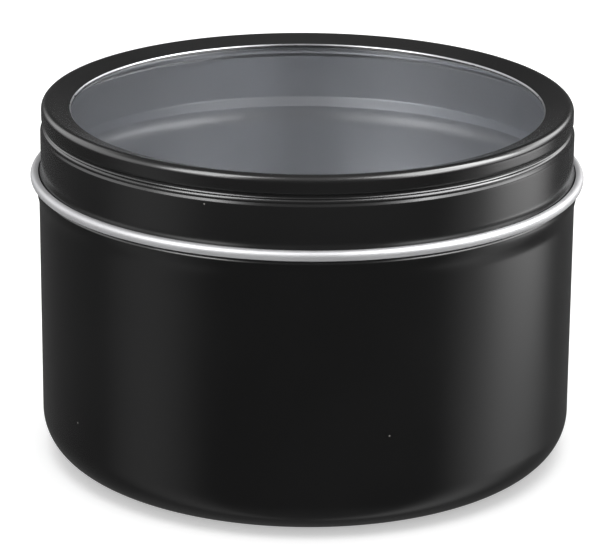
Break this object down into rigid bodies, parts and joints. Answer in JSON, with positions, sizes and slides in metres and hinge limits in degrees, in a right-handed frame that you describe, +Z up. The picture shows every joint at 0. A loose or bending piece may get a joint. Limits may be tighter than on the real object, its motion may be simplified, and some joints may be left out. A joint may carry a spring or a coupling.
{
  "type": "window lid tin",
  "caption": "Round deep-drawn slip-lid tin, satin black with a bare rolled lid edge and a clear window in the lid.",
  "frame": {"origin": "centre of the base, on the plane that the tin stands on", "axes": "+Z up along the tin's axis, towards the lid; the tin is the same all round"},
  "size_m": [0.0826, 0.0826, 0.054],
  "materials": {
    "black_enamel": "satin black enamel outside, bare tinplate inside",
    "black_enamel_lid": "satin black enamel outside, bare tinplate inside and on the curled edge",
    "clear_plastic": "clear, glossy"
  },
  "bodies": {
    "tin": {"tin_body": "black_enamel"},
    "lid": {"lid_ring": "black_enamel_lid", "window_pane": "clear_plastic"}
  },
  "joints": [
    {"name": "lid_lift", "type": "slide", "parent": "tin", "child": "lid", "axis": [0, 0, 1], "range_m": [0, 0.02]}
  ]
}
